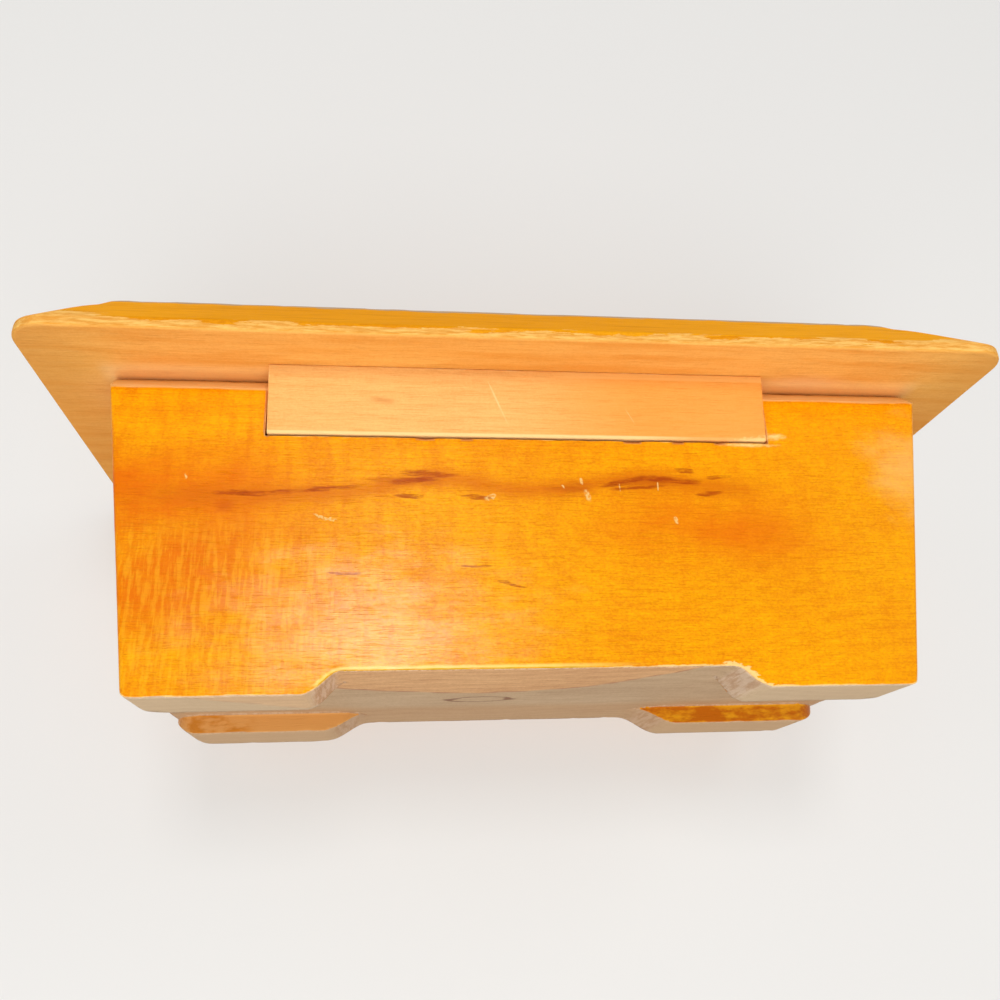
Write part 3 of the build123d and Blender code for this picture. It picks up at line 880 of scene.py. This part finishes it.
def lid_material():
    n = Nodes("lid_wood")
    g = grain(n, (20.0, -40.0), 3.4, 12.0, 40.0)
    edge = n.attribute("edge")
    carve = n.attribute("carve")
    amber = wood_colour(n, g, srgb(246, 166, 20), srgb(206, 112, 8))
    streaks = n.span(n.noise((42, 3.5, 3.5), 45.0, detail=4, rough=0.6), 0.4, 0.66)
    tan = wood_colour(n, g, srgb(250, 190, 100), srgb(224, 146, 58), late=0.15)
    tan = n.mix(n.times(streaks, 0.45), tan, srgb(228, 142, 42))
    # The underside is paler and pinker beside the hinge block, has a band of painted light along the back wall and is
    # duller towards the ends
    pink = n.most(n.near((-70, 36, lid_underside), (16, 6, 4)), n.near((88, 22, lid_underside), (26, 22, 4)))
    tan = n.mix(n.times(pink, 0.5), tan, srgb(242, 180, 122))
    # A band of painted light along the back wall, where the rim shades the underside of the lid
    strip = n.times(n.span(n.math("ABSOLUTE", n.minus(n.y, 33.0)), 6.5, 1.0), n.span(n.math("ABSOLUTE", n.x), 102, 98))
    tan = n.mix(n.times(strip, 0.35), tan, srgb(255, 214, 152))
    ends = n.span(n.math("ABSOLUTE", n.x), 98, 114)
    tan = n.mix(n.times(ends, 0.5), tan, srgb(226, 158, 76))
    under = n.span(n.z, lid_underside + 0.5, lid_underside + 0.3)
    # The side bevels hold an olive stain, with painted shade making it a little darker along the middle
    bevel = n.times(n.span(n.z, lid_underside + 2.2, lid_underside + 3.2), n.span(n.normal_part(2), 0.95, 0.85))
    # Painted shade along the middle of the bevels
    shade = n.times(n.span(n.x, 92, 60), n.span(n.x, -62, -20))
    olive = n.mix(shade, srgb(240, 160, 0), srgb(232, 152, 0))
    olive = n.mix(n.times(n.span(g["fibre"], 0.45, 0.7), 0.4), olive, srgb(200, 120, 0))
    amber = n.mix(n.times(bevel, 0.9), amber, olive)
    colour = n.mix(under, amber, tan)
    # Worn pale band along the edge, ragged above, wide at the tips
    ragged = n.noise((13, 5, 1.6), 51.0, detail=5, rough=0.68)
    tips = n.span(n.math("ABSOLUTE", n.x), 84, 108, 0.0, 2.6)
    limit = n.plus(n.span(ragged, 0.34, 0.66, 0.7, 2.9), tips)
    above = n.minus(n.z, lid_underside + 0.3)
    band = n.times(n.span(n.minus(above, limit), 0.15, -0.15), n.minus(1.0, under))
    band = n.times(band, n.span(n.normal_part(2), 0.98, 0.9))
    pale = n.mix(n.span(n.noise((6, 1.2, 0.7), 53.0, detail=4, rough=0.7), 0.36, 0.62), srgb(252, 200, 110), srgb(232, 158, 66))
    colour = n.mix(n.times(band, 0.95), colour, pale)
    top_wear = n.span(n.minus(edge, n.span(ragged, 0.35, 0.7, 0.4, 1.3)), 0.25, -0.1)
    top_wear = n.times(top_wear, n.span(n.z, lid_top - 3, lid_top - 1.5))
    # The worn top edge turns grey towards the back
    grey_towards_back = n.mix(n.span(n.y, 20, 40), srgb(236, 180, 96), srgb(178, 160, 136))
    colour = n.mix(n.times(top_wear, n.span(n.y, 20, 40, 0.5, 0.8)), colour, grey_towards_back)
    colour = n.mix(n.times(n.span(carve, 0.0, 0.8), 0.8), colour, srgb(140, 62, 4))
    bare = n.most(under, n.most(band, top_wear))
    rough = n.plus(0.45, n.times(bare, 0.2))
    rough = n.plus(rough, n.times(n.minus(g["fibre"], 0.5), 0.2))
    return n.close(colour, rough, grain_height(n, g), depth=0.07, specular=0.04)


def block_material():
    n = Nodes("plain_block")
    g = grain(n, (5.0, 30.0), 2.6, 8.0, 70.0)
    edge = n.attribute("edge")
    colour = wood_colour(n, g, srgb(250, 192, 114), srgb(228, 148, 70), late=0.12)
    colour = n.mix(n.times(n.span(n.x, 15, -30), 0.65), colour, srgb(246, 152, 48))
    blot = n.near((35.5, half_depth + 1.5, 67.8), (4.5, 5, 1.6), n.times(n.minus(n.noise((3, 1, 1), 79.0), 0.5), 1.2))
    colour = n.mix(n.times(blot, 0.5), colour, srgb(206, 128, 60))
    strip = n.times(n.span(n.z, 74.1, 74.5), n.span(n.x, 0, -14))
    colour = n.mix(n.times(strip, 0.45), colour, srgb(254, 196, 116))
    ragged = n.noise((10, 3, 3), 77.0, detail=4, rough=0.7)
    worn = n.span(n.minus(edge, n.span(ragged, 0.35, 0.7, 0.05, 0.35)), 0.15, -0.08)
    # A pale line along the bottom back arris of the block: worn wood and a painted highlight
    heel_wear_and_highlight = n.times(n.span(n.z, 60.5, 60.25), n.span(n.y, 33.5, 34.5))
    heel_wear_and_highlight = n.times(heel_wear_and_highlight, n.span(n.x, -44, -24, 0.25, 1.0))
    colour = n.mix(n.times(n.most(n.times(worn, 0.7), heel_wear_and_highlight), 0.85), colour, srgb(254, 218, 150))
    rag = n.times(n.minus(n.noise((1.5, 1, 0.7), 97.0, detail=3, rough=0.65), 0.5), 2.4)
    slant = n.plus(n.plus(n.minus(n.z, 59.6), n.times(n.plus(n.x, 48.0), 0.13)), rag)
    chafed = n.times(n.span(slant, 0.4, -0.3), n.span(n.x, -47, -49))
    colour = n.mix(n.times(chafed, 0.7), colour, srgb(255, 218, 144))
    foot_of_scratch = half_depth + 0.6
    scratch = n.line((10.9, half_depth + 2.6, 73.6), (5.2, foot_of_scratch, 60.8), 0.3)
    second = n.line((-22.5, half_depth + 1.6, 67.0), (-25.0, half_depth + 0.9, 63.0), 0.22)
    scratch = n.times(n.most(scratch, n.times(second, 0.6)), n.span(ragged, 0.3, 0.5, 0.5, 1.0))
    colour = n.mix(n.times(scratch, 0.6), colour, srgb(255, 214, 146))
    rough = n.plus(0.5, n.times(n.minus(g["fibre"], 0.5), 0.2))
    height = n.minus(grain_height(n, g), n.times(scratch, 0.5))
    return n.close(colour, rough, height, depth=0.06, specular=0.08)


def plug_material():
    """End grain of the plugs and the dowels."""
    n = Nodes("end_grain")
    g = grain(n, (30.4, 60.0), 1.1, 2.0, 90.0)
    colour = wood_colour(n, g, srgb(226, 160, 84), srgb(150, 90, 38), late=0.6, fibre=0.3, hair=0.0)
    return n.close(colour, 0.6, grain_height(n, g), depth=0.06)


def steel_material():
    n = Nodes("drawn_steel")
    lines = n.noise((9, 0.12, 0.12), 3.0, detail=3)
    spots = n.span(n.noise((0.8, 0.8, 0.8), 5.0, detail=3), 0.55, 0.7)
    colour = n.mix(spots, srgb(178, 178, 180), srgb(120, 96, 74))
    rough = n.plus(n.times(lines, 0.25), n.plus(0.22, n.times(spots, 0.25)))
    return n.close(colour, rough, lines, depth=0.02, metal=1.0)


def felt_material():
    n = Nodes("felt")
    fibres = n.noise((0.35, 0.35, 0.35), 7.0, detail=4, rough=0.7, distortion=1.5)
    patches = n.noise((16, 11, 11), 9.0, detail=2)
    share = n.plus(n.times(fibres, 0.8), n.times(patches, 0.6))
    colour = n.mix(n.span(share, 0.45, 0.95), srgb(92, 20, 24), srgb(168, 52, 50))
    return n.close(colour, 0.95, fibres, depth=0.35, sheen=0.6, specular=0.1)


# Stage, light and camera

def seen_directly(tree):
    """1 for what the camera sees, also in a reflection or through a clear surface."""
    path = tree.nodes.new("ShaderNodeLightPath")
    total = path.outputs["Is Camera Ray"]
    for label in ("Is Glossy Ray", "Is Transmission Ray"):
        larger = tree.nodes.new("ShaderNodeMath")
        larger.operation = "MAXIMUM"
        tree.links.new(total, larger.inputs[0])
        tree.links.new(path.outputs[label], larger.inputs[1])
        total = larger.outputs[0]
    return total


def see_only_from_front(name, colour):
    """A pale surface that is seen only from its front. Lamps and soft light pass through it."""
    material = bpy.data.materials.new(name)
    material.use_nodes = True
    tree = material.node_tree
    tree.nodes.clear()
    geometry = tree.nodes.new("ShaderNodeNewGeometry")
    front = tree.nodes.new("ShaderNodeMath")
    front.operation = "SUBTRACT"
    front.use_clamp = True
    tree.links.new(seen_directly(tree), front.inputs[0])
    tree.links.new(geometry.outputs["Backfacing"], front.inputs[1])
    clear = tree.nodes.new("ShaderNodeBsdfTransparent")
    lit = tree.nodes.new("ShaderNodeBsdfDiffuse")
    lit.inputs["Color"].default_value = colour
    own = tree.nodes.new("ShaderNodeEmission")
    own.inputs["Color"].default_value = colour
    pale = tree.nodes.new("ShaderNodeAddShader")
    tree.links.new(lit.outputs[0], pale.inputs[0])
    tree.links.new(own.outputs[0], pale.inputs[1])
    mix = tree.nodes.new("ShaderNodeMixShader")
    tree.links.new(front.outputs[0], mix.inputs[0])
    tree.links.new(clear.outputs[0], mix.inputs[1])
    tree.links.new(pale.outputs[0], mix.inputs[2])
    output = tree.nodes.new("ShaderNodeOutputMaterial")
    tree.links.new(mix.outputs[0], output.inputs["Surface"])
    return material


def stage_plane(name, centre, across, up, size, material):
    """A large flat sheet in metres whose front is the side that across x up points to."""
    c, a, b = Vector(centre), Vector(across) * size, Vector(up) * size
    mesh = bpy.data.meshes.new(name)
    mesh.from_pydata([c - a - b, c + a - b, c + a + b, c - a + b], [], [(0, 1, 2, 3)])
    mesh.materials.append(material)
    plane = bpy.data.objects.new(name, mesh)
    bpy.context.scene.collection.objects.link(plane)
    return plane


def area_lamp(name, place, target, size, watts, colour=(1, 1, 1), mirrored=False):
    """A soft square lamp. Only a mirrored one shows as a highlight on the varnish."""
    lamp = bpy.data.lights.new(name, "AREA")
    lamp.shape = "RECTANGLE"
    lamp.size, lamp.size_y = size
    lamp.energy = watts
    lamp.color = colour
    holder = bpy.data.objects.new(name, lamp)
    aim = Vector(target) - Vector(place)
    holder.location = place
    holder.rotation_euler = aim.to_track_quat("-Z", "Y").to_euler()
    holder.visible_glossy = mirrored
    bpy.context.scene.collection.objects.link(holder)


def make_world(ambient):
    world = bpy.data.worlds.new("studio")
    bpy.context.scene.world = world
    world.use_nodes = True
    tree = world.node_tree
    tree.nodes.clear()
    white = tree.nodes.new("ShaderNodeBackground")
    white.inputs["Color"].default_value = (1, 1, 1, 1)
    white.inputs["Strength"].default_value = 1.0
    soft = tree.nodes.new("ShaderNodeBackground")
    soft.inputs["Color"].default_value = (1, 1, 1, 1)
    soft.inputs["Strength"].default_value = ambient
    mix = tree.nodes.new("ShaderNodeMixShader")
    tree.links.new(seen_directly(tree), mix.inputs[0])
    tree.links.new(soft.outputs[0], mix.inputs[1])
    tree.links.new(white.outputs[0], mix.inputs[2])
    output = tree.nodes.new("ShaderNodeOutputWorld")
    tree.links.new(mix.outputs[0], output.inputs["Surface"])


def make_stage():
    pale = (0.42, 0.415, 0.405, 1)
    material = see_only_from_front("pale_stage", pale)
    stage_plane("floor", (0, 0, -0.0004), (1, 0, 0), (0, 1, 0), 1.5, material)
    stage_plane("backdrop", (0, -0.0535, 0), (-1, 0, 0), (0, 0, 1), 1.5, material)


def make_lights():
    make_world(0.32)
    area_lamp("side_left", (0.85, 0.75, 0.12), (0, 0, 0.04), (0.5, 0.5), 0.85)
    area_lamp("side_right", (-0.62, 0.74, 0.38), (0, 0, 0.04), (0.35, 0.35), 1.1)
    area_lamp("glare", (0.045, 0.9, 0.22), (0.03, 0.0357, 0.02), (0.2, 0.2), 2.2,
              mirrored=True)
    area_lamp("low_back", (0.0, 0.65, -0.45), (0, 0.035, 0.06), (0.6, 0.4), 2.8)
    area_lamp("fill_low", (0.2, 0.25, -0.8), (0, 0, 0.03), (0.8, 0.8), 3.0, (1.0, 0.96, 0.90))
    area_lamp("top", (0.1, -0.1, 1.1), (0, 0, 0.06), (1.0, 1.0), 6.0)
    area_lamp("front", (-0.3, -1.0, 0.5), (0, 0, 0.04), (0.9, 0.9), 6.0)


def make_camera():
    """The view of the photograph: from behind, a little below the floor line, looking up."""
    yaw, pitch, roll = -0.1302, 0.3835, -0.0408
    place = Vector((0.0337, 0.22798, -0.03461))
    forward = Vector((math.sin(yaw) * math.cos(pitch), -math.cos(yaw) * math.cos(pitch), math.sin(pitch)))
    right = forward.cross(Vector((0, 0, 1))).normalized()
    up = right.cross(forward)
    across = right * math.cos(roll) + up * math.sin(roll)
    upright = up * math.cos(roll) - right * math.sin(roll)
    data = bpy.data.cameras.new("camera")
    data.sensor_width = 36.0
    data.lens = 36.0 * 913.79 / 1000
    data.clip_start = 0.005
    camera = bpy.data.objects.new("camera", data)
    turn = Matrix((across, upright, -forward)).transposed()
    camera.matrix_world = Matrix.Translation(place) @ turn.to_4x4()
    bpy.context.scene.collection.objects.link(camera)
    bpy.context.scene.camera = camera


def paint(name, material):
    mesh = nodes[name].data
    mesh.materials.clear()
    mesh.materials.append(material)


def build():
    end_grain = plug_material()
    steel = steel_material()
    make_body(stained_body_material())
    make_lid(lid_material())
    make_block(block_material())
    make_felt(felt_material())
    for side in (1, -1):
        make_plug(side, end_grain)
    for name in ("hinge_pin_left", "hinge_pin_right"):
        paint(name, steel)
    for name in ("hinge_dowel_1", "hinge_dowel_2", "hinge_dowel_3"):
        paint(name, end_grain)


build()
make_stage()
make_lights()
make_camera()
bpy.context.scene.view_settings.view_transform = "Standard"
